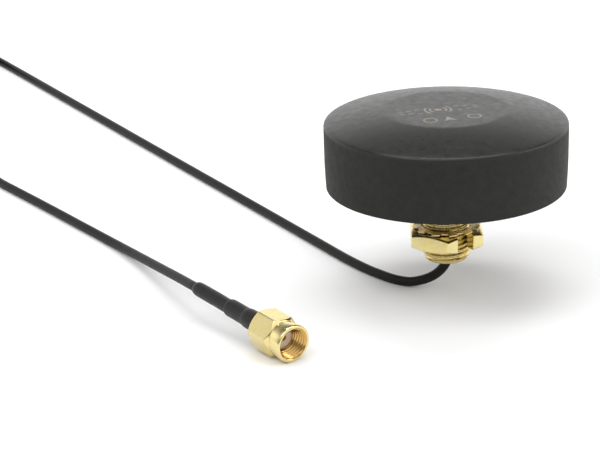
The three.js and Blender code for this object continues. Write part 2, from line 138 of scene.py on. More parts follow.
exit_part = [
    (0, 0, -12.4), (0, 0, -14), (0, 0, -16.4), (0, 0, -17.3), (-0.25, 0, -18), (-0.9, 0.05, -19),
    (-2, 0.1, -20.1), (-3.6, 0.3, -21.1), (-5.6, 0.8, -21.9), (-7.6, 1.5, -22.4), (-9.6, 2.6, -22.5),
]
run_part = [
    (-11.2, 3.76), (-13.63, 6.38), (-16.07, 9.38), (-18.52, 12.95), (-21, 16.93), (-24.79, 23.57),
    (-30.02, 32.76), (-37.3, 45.51), (-44.99, 58.96), (-53.1, 73.08), (-61.67, 88.01),
    (-70.5, 103.4), (-82.5, 124.4), (-94.5, 145.3), (-106.5, 166.3), (-116.2, 183.2),
    (-120.34, 190.33),
]
tail_part = [
    (-160.9, 172.8, -17.35), (-157.36, 166.71, -18.4), (-152.7, 158.8, -20.6), (-147.4, 149.7, -22.1),
    (-141.5, 139.6, CORD_Z), (-133, 125, CORD_Z), (-119, 100.8, CORD_Z), (-104.11, 75.48, CORD_Z),
    (-99.03, 68.23, CORD_Z), (-92.83, 59.5, CORD_Z), (-86.13, 49.96, CORD_Z), (-81.4, 43.12, CORD_Z),
    (-77.57, 37.64, CORD_Z), (-74.07, 32.51, -22.45), (-70.98, 27.64, -22.25), (-68.16, 22.69, -21.85),
    (-65.6, 17.78, -21.3), (-63.07, 12.67, -20.65), (-60.58, 7.51, -19.95), (-58.14, 2.35, -19.2),
    (-55.76, -2.78, -18.45), (-53.55, -7.6, -17.78), (-52.27, -10.36, -17.4), (-50.24, -12.96, -17.6),
    (-47.17, -16.89, -17.95), (-44.11, -20.82, -18.29), (-41.6, -24.04, -18.58),
]
lead_points = exit_part + [(x, y, CORD_Z) for x, y in run_part] + coil_points() + tail_part


def followed(points, step):
    """A smooth line through the points, with a point at least every step and more in bends."""
    knots = [Vector(p) for p in points]
    last = len(knots) - 1
    along = [(knots[min(i + 1, last)] - knots[max(i - 1, 0)]).normalized() for i in range(last + 1)]
    line = []
    for i in range(last):
        p, q = knots[i], knots[i + 1]
        reach = (q - p).length
        n = max(math.ceil(reach / step), math.ceil(along[i].angle(along[i + 1]) / math.radians(7)), 1)
        h, k = p + along[i] * reach / 3, q - along[i + 1] * reach / 3
        for j in range(n):
            t = j / n
            s = 1 - t
            line.append(p * s**3 + h * 3 * t * s * s + k * 3 * t * t * s + q * t**3)
    return [*line, knots[last]]


def round_tube(line, radius, sides):
    """A tube with closed ends round a line, its rings twisted as little as possible."""
    v, f = [], []
    last = len(line) - 1
    side = (line[1] - line[0]).orthogonal()
    for i, p in enumerate(line):
        along = (line[min(i + 1, last)] - line[max(i - 1, 0)]).normalized()
        side = (side - along * side.dot(along)).normalized()
        other = along.cross(side)
        for k in range(sides):
            a = TAU * k / sides
            v.append(tuple(p + (side * math.cos(a) + other * math.sin(a)) * radius))
    for i in range(last):
        for k in range(sides):
            m = (k + 1) % sides
            f.append((i * sides + k, i * sides + m, (i + 1) * sides + m, (i + 1) * sides + k))
    f.append(tuple(reversed(range(sides))))
    f.append(tuple(range(last * sides, (last + 1) * sides)))
    return v, f


lead_line = followed(lead_points, 2.6)


# ---- mesh helpers ----------------------------------------------------------------------------
class Rings:
    """A mesh of rings about Z in millimetres, all with the same number of points."""

    def __init__(self, angles):
        self.angles = list(angles)
        self.n = len(self.angles)
        self.v = []
        self.f = []

    def ring(self, radius, z):
        first = len(self.v)
        for i, a in enumerate(self.angles):
            r = radius(i) if callable(radius) else radius
            h = z(i) if callable(z) else z
            self.v.append((r * math.cos(a), r * math.sin(a), h))
        return list(range(first, first + self.n))

    def bridge(self, a, b):
        for i in range(self.n):
            j = (i + 1) % self.n
            self.f.append((a[i], a[j], b[j], b[i]))
        return b

    def through(self, profile, last):
        """Goes on from a ring through the (radius, z) pairs of a profile."""
        for r, z in profile:
            last = self.bridge(last, self.ring(r, z))
        return last

    def closed(self, profile):
        """A whole closed section, back to its first ring."""
        first = self.ring(*profile[0])
        self.bridge(self.through(profile[1:], first), first)
        return self.v, self.f

    def centre(self, a, z):
        """Closes a ring with a fan round one point."""
        self.v.append((0, 0, z))
        top = len(self.v) - 1
        for i in range(self.n):
            self.f.append((a[i], a[(i + 1) % self.n], top))

    def thread(self, shape, pitch, z0, z1, limit):
        """Helical rows between z0 and z1. shape holds (share of a pitch, radius) pairs."""
        shares = [s for s, _ in shape]
        k = len(shape)

        def radius_at(z, a):
            u = ((z - z0) / pitch - a / TAU) % 1
            for (s, r), (s2, r2) in zip(shape, shape[1:] + [(shape[0][0] + 1, shape[0][1])]):
                if s <= u <= s2:
                    return limit(r + (r2 - r) * (u - s) / (s2 - s), z)
            return limit(shape[0][1], z)

        turns = int(math.ceil((z1 - z0) / pitch)) + 4
        low, high = [], []
        for a in self.angles:
            for z, row in ((z0, low), (z1, high)):
                r = radius_at(z, a)
                self.v.append((r * math.cos(a), r * math.sin(a), z))
                row.append(len(self.v) - 1)
        columns = []
        for i, a in enumerate(self.angles):
            column = []
            for j in range((turns + 2) * k):
                z = z0 + (j // k - 2 + shares[j % k] + a / TAU) * pitch
                if z <= z0 + 1e-6:
                    column.append(low[i])
                elif z >= z1 - 1e-6:
                    column.append(high[i])
                else:
                    r = limit(shape[j % k][1], z)
                    self.v.append((r * math.cos(a), r * math.sin(a), z))
                    column.append(len(self.v) - 1)
            columns.append(column)
        for i in range(self.n):
            here, there = columns[i], columns[(i + 1) % self.n]
            step = k if i == self.n - 1 else 0
            for j in range(len(here) - 1 - step):
                quad = (here[j], there[j + step], there[j + 1 + step], here[j + 1])
                face = [p for n, p in enumerate(quad) if p != quad[n - 1]]
                if len(set(face)) > 2 and len(set(face)) == len(face):
                    self.f.append(tuple(face))
        return low, high


def even(n):
    return [TAU * i / n for i in range(n)]


def closed_ring(corners, sides):
    """A closed section turned about Z, from (radius, z) or (radius, z, fillet) corners."""
    return Rings(even(sides)).closed(fillets(corners, closed=True))


def fillets(points, closed=False):
    """(r, z) or (r, z, fillet) corners to a smooth profile."""
    out = []
    n = len(points)
    for i, p in enumerate(points):
        r = p[2] if len(p) > 2 else 0
        here = Vector(p[:2])
        if not r or (not closed and i in (0, n - 1)):
            out.append(tuple(here))
            continue
        a, b = Vector(points[i - 1][:2]) - here, Vector(points[(i + 1) % n][:2]) - here
        half = a.angle(b) / 2
        cut = min(r / math.tan(half), 0.49 * a.length, 0.49 * b.length)
        steps = 5 if half < 1.3 else 3
        p0, p1 = here + a.normalized() * cut, here + b.normalized() * cut
        for s in range(steps + 1):
            t = s / steps
            out.append(tuple(p0 * (1 - t) ** 2 + here * 2 * t * (1 - t) + p1 * t * t))
    return out


def piece(name, v, f, slot, material, body="antenna", place=None, sharp=35, stands_for=()):
    """A closed mesh from millimetre points, riding on a body."""
    mesh = bpy.data.meshes.new(name)
    mesh.from_pydata([Vector(p) * MM for p in v], [], f)
    b = bmesh.new()
    b.from_mesh(mesh)
    bmesh.ops.remove_doubles(b, verts=b.verts, dist=2e-7)
    bmesh.ops.dissolve_degenerate(b, edges=b.edges, dist=1e-8)
    bmesh.ops.recalc_face_normals(b, faces=b.faces)
    b.to_mesh(mesh)
    b.free()
    if place is not None:
        m = place.copy()
        m.translation = m.translation * MM
        mesh.transform(m)
    return dress(name, mesh, material, body, sharp, stands_for)


def dress(name, mesh, material, body, sharp, stands_for):
    """Makes a piece of a finished mesh: shading, material, body and the nodes it replaces."""
    mesh.polygons.foreach_set("use_smooth", [True] * len(mesh.polygons))
    mesh.set_sharp_from_angle(angle=math.radians(sharp))
    mesh.materials.clear()
    mesh.materials.append(material)
    o = bpy.data.objects.new(name, mesh)
    bpy.context.scene.collection.objects.link(o)
    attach(o, body)
    if stands_for:
        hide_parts(*stands_for)
    return o


def cut(name, o, cutters, slot, material, body, sharp, stands_for):
    """The object less the cutters, as a new piece."""
    made = []
    for i, (v, f) in enumerate(cutters):
        mesh = bpy.data.meshes.new(f"cutter_{i}")
        mesh.from_pydata([Vector(p) * MM for p in v], [], f)
        b = bmesh.new()
        b.from_mesh(mesh)
        bmesh.ops.recalc_face_normals(b, faces=b.faces)
        b.to_mesh(mesh)
        b.free()
        c = bpy.data.objects.new(f"cutter_{i}", mesh)
        bpy.context.scene.collection.objects.link(c)
        modifier = o.modifiers.new("cut", "BOOLEAN")
        modifier.operation = "DIFFERENCE"
        modifier.solver = "EXACT"
        modifier.object = c
        made.append(c)
    bpy.context.view_layer.update()
    mesh = bpy.data.meshes.new_from_object(
        o.evaluated_get(bpy.context.evaluated_depsgraph_get())
    )
    for c in [*made, o]:
        bpy.data.objects.remove(c)
    mesh.name = name
    return dress(name, mesh, material, body, sharp, stands_for)


def box_mesh(x0, x1, y0, y1, z0, z1):
    v = [(x, y, z) for x in (x0, x1) for y in (y0, y1) for z in (z0, z1)]
    f = [(0, 1, 3, 2), (4, 6, 7, 5), (0, 4, 5, 1), (2, 3, 7, 6), (0, 2, 6, 4), (1, 5, 7, 3)]
    return v, f


def prism(outline, z0, z1):
    """A flat outline of (x, y) points, as a closed plate."""
    n = len(outline)
    v = [(x, y, z0) for x, y in outline] + [(x, y, z1) for x, y in outline]
    f = [tuple(reversed(range(n))), tuple(range(n, 2 * n))]
    f += [(i, (i + 1) % n, (i + 1) % n + n, i + n) for i in range(n)]
    return v, f


def joined(parts):
    v, f = [], []
    for pv, pf in parts:
        shift = len(v)
        v += pv
        f += [tuple(i + shift for i in face) for face in pf]
    return v, f


def hexagon(flats, turn, round_r, per_side):
    """Angles and radii of a hexagon with rounded corners, counter-clockwise from angle 0."""
    corner = flats / math.sqrt(3)
    cut_back = round_r * math.tan(math.radians(30))
    points = []
    for i in range(6):
        a, b = turn + i * TAU / 6, turn + (i + 1) * TAU / 6
        p, q = Vector((math.cos(a), math.sin(a))) * corner, Vector((math.cos(b), math.sin(b))) * corner
        along = (q - p).normalized()
        start, end = p + along * cut_back, q - along * cut_back
        for s in range(per_side + 1):
            points.append(start.lerp(end, s / per_side))
        middle = q * (1 - round_r / (flats / 2))
        for s in (1, 2, 3):
            w = math.radians(-30 + 15 * s)
            out = Vector((math.cos(b + w), math.sin(b + w))) * round_r
            points.append(middle + out)
    points.sort(key=lambda p: math.atan2(p.y, p.x) % TAU)
    return [math.atan2(p.y, p.x) % TAU for p in points], [p.length for p in points]


# ---- materials -------------------------------------------------------------------------------
class Shader:
    """A node material on object coordinates, in millimetres unless a frame is given."""

    def __init__(self, name, base, rough, place=None, **fixed):
        self.m = bpy.data.materials.new(name)
        self.m.use_nodes = True
        self.t = self.m.node_tree
        self.t.nodes.clear()
        self.out = self.add("ShaderNodeOutputMaterial")
        self.s = self.add("ShaderNodeBsdfPrincipled")
        self.t.links.new(self.s.outputs[0], self.out.inputs[0])
        self.s.inputs["Base Color"].default_value = (*base, 1)
        self.s.inputs["Roughness"].default_value = rough
        for key, value in fixed.items():
            self.s.inputs[key.replace("_", " ")].default_value = value
        self.base, self.rough, self.bumps = base, rough, None
        where = self.add("ShaderNodeTexCoord")
        self.space = self.add("ShaderNodeMapping")
        self.space.vector_type = "TEXTURE"
        self.link(where.outputs["Object"], self.space.inputs[0])
        self.space.inputs["Scale"].default_value = (MM, MM, MM)
        if place is not None:
            self.space.inputs["Location"].default_value = place.translation * MM
            self.space.inputs["Rotation"].default_value = place.to_euler()

    def add(self, kind):
        return self.t.nodes.new(kind)

    def link(self, a, b):
        self.t.links.new(a, b)

    def stretched(self, scale):
        """The coordinates times a scale for each axis."""
        n = self.add("ShaderNodeMapping")
        n.inputs["Scale"].default_value = scale
        self.link(self.space.outputs[0], n.inputs[0])
        return n.outputs[0]

    def noise(self, scale, detail=2.0, rough=0.5, vector=None):
        n = self.add("ShaderNodeTexNoise")
        n.inputs["Scale"].default_value = scale
        n.inputs["Detail"].default_value = detail
        n.inputs["Roughness"].default_value = rough
        self.link(vector or self.space.outputs[0], n.inputs["Vector"])
        return n.outputs["Fac"]

    def cells(self, scale):
        n = self.add("ShaderNodeTexVoronoi")
        n.inputs["Scale"].default_value = scale
        self.link(self.space.outputs[0], n.inputs["Vector"])
        return n.outputs["Distance"]

    def spread(self, value, low, high, to_low, to_high):
        n = self.add("ShaderNodeMapRange")
        for k, x in zip((1, 2, 3, 4), (low, high, to_low, to_high)):
            n.inputs[k].default_value = x
        self.link(value, n.inputs[0])
        return n.outputs[0]

    def math(self, what, a, b):
        n = self.add("ShaderNodeMath")
        n.operation = what
        for k, x in enumerate((a, b)):
            if isinstance(x, (int, float)):
                n.inputs[k].default_value = x
            else:
                self.link(x, n.inputs[k])
        return n.outputs[0]

    def tint(self, share, colour):
        """Mixes another colour over the base by a share from 0 to 1."""
        n = self.add("ShaderNodeMix")
        n.data_type = "RGBA"
        socket = self.s.inputs["Base Color"]
        if socket.is_linked:
            self.link(socket.links[0].from_socket, n.inputs[6])
        else:
            n.inputs[6].default_value = socket.default_value
        n.inputs[7].default_value = (*colour, 1)
        self.link(share, n.inputs[0])
        self.link(n.outputs[2], socket)
        return self

    def roughness(self, value):
        self.link(value, self.s.inputs["Roughness"])
        return self

    def bump(self, height, strength, distance):
        n = self.add("ShaderNodeBump")
        n.inputs["Strength"].default_value = strength
        n.inputs["Distance"].default_value = distance * MM
        self.link(height, n.inputs["Height"])
        if self.bumps:
            self.link(self.bumps, n.inputs["Normal"])
        self.bumps = n.outputs[0]
        self.link(self.bumps, self.s.inputs["Normal"])
        return self


def moulded(name, base, rough, grain):
    """Black moulded plastic, blotchy and finely grained."""
    s = Shader(name, base, rough, Specular_IOR_Level=0.36)
    s.tint(s.spread(s.noise(0.08, 3), 0.35, 0.7, 0, 1), [c * 1.25 for c in base])
    s.tint(s.spread(s.noise(2.2, 4, 0.6), 0.45, 0.7, 0, 0.35), [c * 0.75 for c in base])
    s.roughness(s.spread(s.noise(0.7, 5, 0.65), 0.3, 0.7, rough - 0.06, rough + 0.08))
    s.bump(s.noise(3.6, 2, 0.6), 0.5, grain)
    s.bump(s.noise(0.25, 2), 0.25, 0.06)
    return s


def gold(name, base, rough, place=None, turned=True, dull=0.12):
    """Plated metal with fine tool marks round its axis if turned, or speckled if stamped."""
    s = Shader(name, base, rough, place, Metallic=1.0)
    deeper = [base[0], base[1] * 0.9, base[2] * 0.7]
    s.tint(s.spread(s.noise(0.35, 4, 0.6), 0.4, 0.75, 0, 0.6), deeper)
    s.tint(s.spread(s.noise(1.4, 5, 0.7), 0.55, 0.8, 0, dull * 3), [c * 0.55 for c in base])
    fine = s.noise(1.0, 3, 0.6, s.stretched((0.25, 0.25, 26.0) if turned else (9, 9, 9)))
    s.roughness(s.spread(s.noise(0.9, 5, 0.7), 0.3, 0.75, rough - 0.05, rough + dull))
    s.bump(fine, 0.35, 0.008)
    s.bump(s.noise(0.8, 2), 0.12, 0.05)
    return s


PLASTIC = moulded("radome_plastic", (0.0105, 0.0107, 0.0083), 0.31, 0.012)
# the wall under the rounded edge is duller than the top
height = PLASTIC.add("ShaderNodeSeparateXYZ")
PLASTIC.link(PLASTIC.space.outputs[0], height.inputs[0])
top_finish = PLASTIC.s.inputs["Roughness"].links[0].from_socket
matt = PLASTIC.math("MULTIPLY", PLASTIC.spread(height.outputs[2], 12.7, 13.3, 1, 0), 0.38)
PLASTIC.roughness(PLASTIC.math("ADD", top_finish, matt))
BASE = moulded("base_plastic", (0.006, 0.0058, 0.0052), 0.5, 0.02)
GOLD = gold("gold_plate", (0.78, 0.68, 0.33), 0.17)
GOLD_PLUG = gold("gold_plate_plug", (0.80, 0.68, 0.33), 0.15, plug_frame)
GOLD_THREAD = gold("gold_thread", (0.74, 0.6, 0.27), 0.24)
GOLD_BORE = gold("gold_bore", (0.6, 0.38, 0.13), 0.16, plug_frame)
WASHER = gold("washer_plate", (0.62, 0.5, 0.26), 0.28, turned=False, dull=0.2)

JACKET = Shader("cable_jacket", (0.0065, 0.0067, 0.0056), 0.44, Specular_IOR_Level=0.2)
JACKET.tint(JACKET.spread(JACKET.noise(0.05, 3), 0.4, 0.7, 0, 1), (0.0095, 0.0097, 0.0083))
JACKET.tint(JACKET.spread(JACKET.noise(4, 6, 0.7), 0.68, 0.76, 0, 0.2), (0.09, 0.09, 0.085))
JACKET.roughness(JACKET.spread(JACKET.noise(1.5, 5, 0.7), 0.3, 0.75, 0.4, 0.56))
JACKET.bump(JACKET.noise(6, 3, 0.6), 0.3, 0.01).bump(JACKET.noise(0.6, 2), 0.4, 0.05)

SHRINK = Shader("shrink_sleeve", (0.0065, 0.0065, 0.0062), 0.42, plug_frame, Specular_IOR_Level=0.36)
SHRINK.tint(SHRINK.spread(SHRINK.noise(0.4, 4), 0.4, 0.7, 0, 1), (0.0095, 0.0094, 0.009))
SHRINK.roughness(SHRINK.spread(SHRINK.noise(1.2, 5, 0.7), 0.3, 0.75, 0.34, 0.56))
SHRINK.bump(SHRINK.noise(1.0, 4, 0.6, SHRINK.stretched((2.2, 2.2, 0.5))), 0.5, 0.05)
SHRINK.bump(SHRINK.noise(7, 3, 0.6), 0.3, 0.012)

RUBBER = Shader("seal_rubber", (0.012, 0.012, 0.012), 0.62)
RUBBER.tint(RUBBER.spread(RUBBER.noise(0.9, 4), 0.4, 0.7, 0, 1), (0.02, 0.02, 0.019))
RUBBER.bump(RUBBER.noise(5, 4, 0.7), 0.5, 0.02)

SHEET = Shader("gasket_foam", (0.016, 0.016, 0.0155), 0.85)
SHEET.tint(SHEET.spread(SHEET.noise(0.3, 5), 0.4, 0.7, 0, 1), (0.027, 0.0265, 0.025))
SHEET.tint(SHEET.spread(SHEET.cells(3.2), 0.05, 0.4, 0.6, 0), (0.006, 0.006, 0.006))
SHEET.bump(SHEET.cells(3.2), 0.7, 0.08).bump(SHEET.noise(1.2, 3), 0.4, 0.08)

PTFE = Shader("insulator", (0.97, 0.76, 0.55), 0.5, plug_frame, Subsurface_Weight=0.15)
PTFE.s.inputs["Subsurface Radius"].default_value = (0.0006, 0.0004, 0.0003)
PTFE.tint(PTFE.spread(PTFE.noise(1.1, 4), 0.4, 0.7, 0, 0.7), (0.93, 0.7, 0.48))
PTFE.bump(PTFE.noise(1.0, 3, 0.6, PTFE.stretched((14, 14, 1))), 0.4, 0.02)

INK = Shader("pad_print_ink", (0.25, 0.22, 0.175), 0.5)
INK.tint(INK.spread(INK.noise(3, 5, 0.7), 0.45, 0.7, 0, 0.8), (0.15, 0.135, 0.11))
INK.bump(INK.noise(4, 3), 0.4, 0.01)

STEEL = gold("plated_steel", (0.62, 0.615, 0.6), 0.27)
TIN = Shader("tinned_sheet", (0.66, 0.655, 0.64), 0.33, Metallic=1.0)
TIN.tint(TIN.spread(TIN.cells(0.35), 0.1, 1.0, 0, 0.8), (0.5, 0.5, 0.49))
TIN.roughness(TIN.spread(TIN.noise(0.8, 5, 0.7), 0.3, 0.75, 0.24, 0.5))
TIN.bump(TIN.noise(1.0, 3, 0.6, TIN.stretched((0.4, 12, 12))), 0.3, 0.01)
SILVER = Shader("silver_film", (0.84, 0.83, 0.79), 0.34, Metallic=1.0)
SILVER.tint(SILVER.spread(SILVER.noise(0.5, 5), 0.4, 0.7, 0, 0.8), (0.66, 0.62, 0.54))
SILVER.roughness(SILVER.spread(SILVER.noise(3, 5), 0.3, 0.7, 0.28, 0.5))
SILVER.bump(SILVER.noise(6, 3), 0.4, 0.01)
BOARD = Shader("board_green", (0.012, 0.085, 0.03), 0.32)
grid = BOARD.add("ShaderNodeTexBrick")
BOARD.link(BOARD.space.outputs[0], grid.inputs["Vector"])
grid.inputs["Color1"].default_value = grid.inputs["Color2"].default_value = (0, 0, 0, 1)
grid.inputs["Mortar"].default_value = (1, 1, 1, 1)
for key, value in (("Scale", 0.45), ("Mortar Size", 0.035), ("Mortar Smooth", 0.1)):
    grid.inputs[key].default_value = value
BOARD.tint(grid.outputs["Color"], (0.03, 0.16, 0.055))
BOARD.tint(BOARD.spread(BOARD.cells(0.33), 0.12, 0.14, 1, 0), (0.6, 0.5, 0.3))
BOARD.bump(grid.outputs["Color"], 0.5, 0.03).bump(BOARD.noise(5, 3), 0.3, 0.01)
CERAMIC = Shader("ceramic", (0.6, 0.49, 0.36), 0.6)
CERAMIC.tint(CERAMIC.spread(CERAMIC.noise(3, 6, 0.7), 0.5, 0.7, 0, 0.7), (0.42, 0.33, 0.23))
CERAMIC.bump(CERAMIC.noise(8, 4, 0.7), 0.5, 0.03)
TAPE = Shader("tape", (0.72, 0.69, 0.6), 0.75)
TAPE.tint(TAPE.spread(TAPE.noise(2, 5, 0.7), 0.4, 0.7, 0, 1), (0.6, 0.57, 0.48))
TAPE.bump(TAPE.noise(2, 4, 0.7, TAPE.stretched((1, 9, 1))), 0.5, 0.03)
FOAM = Shader("foam", (0.055, 0.055, 0.055), 0.92)
FOAM.tint(FOAM.spread(FOAM.cells(2.2), 0.05, 0.5, 0.8, 0), (0.012, 0.012, 0.012))
FOAM.bump(FOAM.cells(2.2), 0.9, 0.2)
CHIP = Shader("chip_black", (0.014, 0.014, 0.0145), 0.5)
CHIP.tint(CHIP.spread(CHIP.noise(9, 4, 0.7), 0.5, 0.7, 0, 1), (0.028, 0.028, 0.028))
CHIP.bump(CHIP.noise(14, 3), 0.5, 0.01)
LID = Shader("filter_lid", (0.72, 0.69, 0.6), 0.3, Metallic=1.0)
LID.tint(LID.spread(LID.noise(1.5, 5), 0.4, 0.7, 0, 0.7), (0.55, 0.52, 0.44))
LID.bump(LID.noise(3, 3, 0.6, LID.stretched((0.4, 10, 10))), 0.4, 0.01)


# ---- the lead itself -------------------------------------------------------------------------
lead = piece(
    "antenna_lead", *round_tube(lead_line, CORD_D / 2, 16), "cable_jacket", JACKET.m, sharp=60,
    stands_for=["lead_exit", "lead_run", "lead_coil", "lead_tail", "sleeved_lead"],
)


# ---- housing ---------------------------------------------------------------------------------
def slope(d):
    """Height of the hollow slope at a distance outside the flat disc."""
    return TOP_Z - 0.128 * d - 0.00647 * d * d


def rounding(p, h, k, q, steps):
    """A cubic curve from p to q, drawn towards h and k."""
    p, h, k, q = Vector(p), Vector(h), Vector(k), Vector(q)
    for i in range(steps + 1):
        t = i / steps
        s = 1 - t
        yield tuple(p * s**3 + h * 3 * t * s * s + k * 3 * t * t * s + q * t**3)


MIDDLE_R = 0.6  # ring that the top's and the ceiling's middle are closed from
shell = [(r, TOP_Z) for r in (MIDDLE_R, 4, 8, 12.3)]
shell += [(DISC_R - 0.12, TOP_Z - 0.005), (DISC_R + 0.02, TOP_Z - 0.022)]
shell += [(DISC_R + d, slope(d)) for d in (0.2, 0.6, 1.4, 2.6, 4, 5.5, 7, 8.4, 9.6, 10.5, 10.95)]
shell += [(23.8, 13.826)]
shell += rounding((23.88, 13.8), (24.76, 13.55), (25.11, 13.45), (25.11, 12.85), 14)
shell += [(25.1, 9), (25.08, 5.6), (25.0, 3), (24.87, 0.12), (24.862, 0.03), (24.83, 0)]
shell += [(23.2, 0), (23.08, 0.05), (23.05, 0.2), (23.05, 11.2), (22.9, 11.8), (22, 12.4)]
shell += [(17, 13.55), (12.34, CAVITY_TOP_Z), (5, CAVITY_TOP_Z), (MIDDLE_R, CAVITY_TOP_Z)]
b = Rings(even(192))
first = b.ring(*shell[0])
last = b.through(shell[1:], first)
b.centre(first, TOP_Z)
b.centre(last, CAVITY_TOP_Z)
piece("radome_shell", b.v, b.f, "radome_plastic", PLASTIC.m, sharp=24, stands_for=["radome"])


def standing(mesh, radius, angle):
    """A turned mesh moved out to a place round the middle."""
    x, y = radius * math.cos(angle), radius * math.sin(angle)
    v, f = mesh
    return [(u + x, w + y, z) for u, w, z in v], f


PLATE_TOP_Z = 3.4
POST_R = 17.5
STAKE_R = 10
ROOT_Z = PLATE_TOP_Z - 0.1  # posts and stakes grow out of the plate
screw_post = [(1.05, 7.6), (2, 7.6, 0.15), (2, ROOT_Z), (1.05, ROOT_Z)]
heat_stake = [(0.02, 4.15), (0.6, 4.15, 0.15), (0.6, ROOT_Z), (0.02, ROOT_Z)]
plate = [closed_ring([
    (5.2, 0, 0.12), (8.5, 0, 0.12), (8.5, 1), (21.5, 1), (21.5, 0, 0.12), (22.85, 0, 0.2),
    (22.85, 1.5, 0.05), (21.9, 1.5), (21.9, 2.7), (22.85, 2.7, 0.05), (22.85, PLATE_TOP_Z, 0.1),
    (8.1, PLATE_TOP_Z, 0.1), (8.1, 1.2), (7.25, 1.2, 0.05), (7.25, 0.4), (5.95, 0.4),
    (5.95, 1.2, 0.05), (5.2, 1.2, 0.05),
], 144)]
for k in range(3):
    a = math.radians(90 + 120 * k)
    plate.append(standing(closed_ring(screw_post, 40), POST_R, a))
    plate.append(standing(closed_ring(heat_stake, 24), STAKE_R, a - math.radians(30)))
# keys beside the flats of the stud's flange
plate.append(box_mesh(-8.3, -7.32, -3.5, 3.5, 1.3, 3.35))
plate.append(box_mesh(7.32, 8.3, -3.5, 3.5, 1.3, 3.35))
piece("base_moulding", *joined(plate), "base_plastic", BASE.m, stands_for=["base_plate"])

gasket = closed_ring([(8.6, 0, 0.08), (21.4, 0, 0.08), (21.4, 0.95, 0.05), (8.6, 0.95, 0.05)], 144)
piece("panel_gasket", *gasket, "gasket_rubber", SHEET.m, stands_for=["base_gasket"])


# ---- neutral printed mark on the flat disc ---------------------------------------------------
def arc(x, y, r, width, a0, a1, steps):
    turns = [math.radians(a0 + (a1 - a0) * i / steps) for i in range(steps + 1)]
    outer = [(x + (r + width / 2) * math.cos(a), y + (r + width / 2) * math.sin(a)) for a in turns]
    inner = [(x + (r - width / 2) * math.cos(a), y + (r - width / 2) * math.sin(a)) for a in turns]
    return outer + inner[::-1]


def bar(x0, x1, y0, y1):
    return [(x0, y0), (x1, y0), (x1, y1), (x0, y1)]


# a dot with waves going out on both sides, and short bars beyond them
WAVE_HALF = 42
BAR_HALF = 0.55
BAR_T = 0.34
marks = [[(0.75 * math.cos(a), 0.75 * math.sin(a)) for a in even(24)]]
for s in (-1, 1):
    middle = 90 - s * 90
    for r in (1.7, 2.7):
        marks.append(arc(0, 0, r, 0.42, middle - WAVE_HALF, middle + WAVE_HALF, 14))
    for i, h in enumerate((1.5, 1.1, 0.75)):
        x = s * (4.2 + 1.9 * i)
        marks.append(bar(x - BAR_HALF, x + BAR_HALF, -h, -h + BAR_T))
        marks.append(bar(x - BAR_HALF, x + BAR_HALF, h - BAR_T, h))
# an arrowhead between two circles
for half in ((0, 180), (180, 360)):
    marks.append(arc(-3.7, -6.3, 1.3, 0.36, *half, 18))
    marks.append(arc(5.6, -6.5, 1.3, 0.36, *half, 18))
marks.append([(0.2, -5.0), (-1.1, -7.8), (0.2, -7.1), (1.5, -7.8)])

MARK_X = -1.6
MARK_Y = -0.5
MARK_TURN = math.radians(14)
INK_T = 0.008  # above and below the disc's surface
c, d = math.cos(MARK_TURN), math.sin(MARK_TURN)
marks = [[(c * x - d * y + MARK_X, d * x + c * y + MARK_Y) for x, y in m] for m in marks]
ink = joined([prism(m, TOP_Z - INK_T, TOP_Z + INK_T) for m in marks])
piece("top_mark", *ink, "radome_plastic", INK.m, sharp=30)

# ---- threaded stud ---------------------------------------------------------------------------
STUD_THREAD = [
    (0.0, 4.952), (0.03, 4.98), (0.18, 4.98), (0.21, 4.952),
    (0.46, 4.61), (0.51, 4.58), (0.7, 4.58), (0.75, 4.61),
]
STUD_END_R = 4.18
STUD_BORE_R = 3.0
PILOT_R = 4.5  # plain end in front of the thread
PILOT_LENGTH = 0.6
FLANGE_R = 8
FLANGE_FLAT = 7.2  # half the distance across its two flats
FLANGE_Z0 = 1.25
FLANGE_Z1 = 3.2
FLANGE_CHAMFER = 0.12
b = Rings(even(112))


def lead_in(r, z):
    """Chamfer and plain pilot at the stud's end."""
    past = z - STUD_END_Z
    return min(r, STUD_END_R + past, PILOT_R + max(0, 1.2 * (past - PILOT_LENGTH)))


def flange(i, less):
    return min(FLANGE_R, FLANGE_FLAT / max(1e-6, abs(math.cos(b.angles[i])))) - less


low, high = b.thread(STUD_THREAD, STUD_PITCH, STUD_END_Z, 0.9, lead_in)
inside = b.through([
    (3.2, STUD_END_Z), (STUD_BORE_R, STUD_END_Z + 0.2), (STUD_BORE_R, FLANGE_Z1), (4.5, FLANGE_Z1),
    (lambda i: flange(i, FLANGE_CHAMFER), FLANGE_Z1), (lambda i: flange(i, 0), FLANGE_Z1 - FLANGE_CHAMFER),
    (lambda i: flange(i, 0), FLANGE_Z0 + FLANGE_CHAMFER), (lambda i: flange(i, FLANGE_CHAMFER), FLANGE_Z0),
    (4.62, FLANGE_Z0),
], low)
b.bridge(inside, high)
piece("stud_turned", b.v, b.f, "gold_brass", GOLD_THREAD.m, sharp=50, stands_for=["threaded_stud"])

grommet = closed_ring(
    [(1.12, -15.5, 0.15), (2.92, -15.5, 0.2), (2.92, -12.6, 0.1), (1.12, -12.6, 0.1)], 48
)
piece("exit_grommet", *grommet, "seal_rubber", RUBBER.m, stands_for=["lead_grommet"])

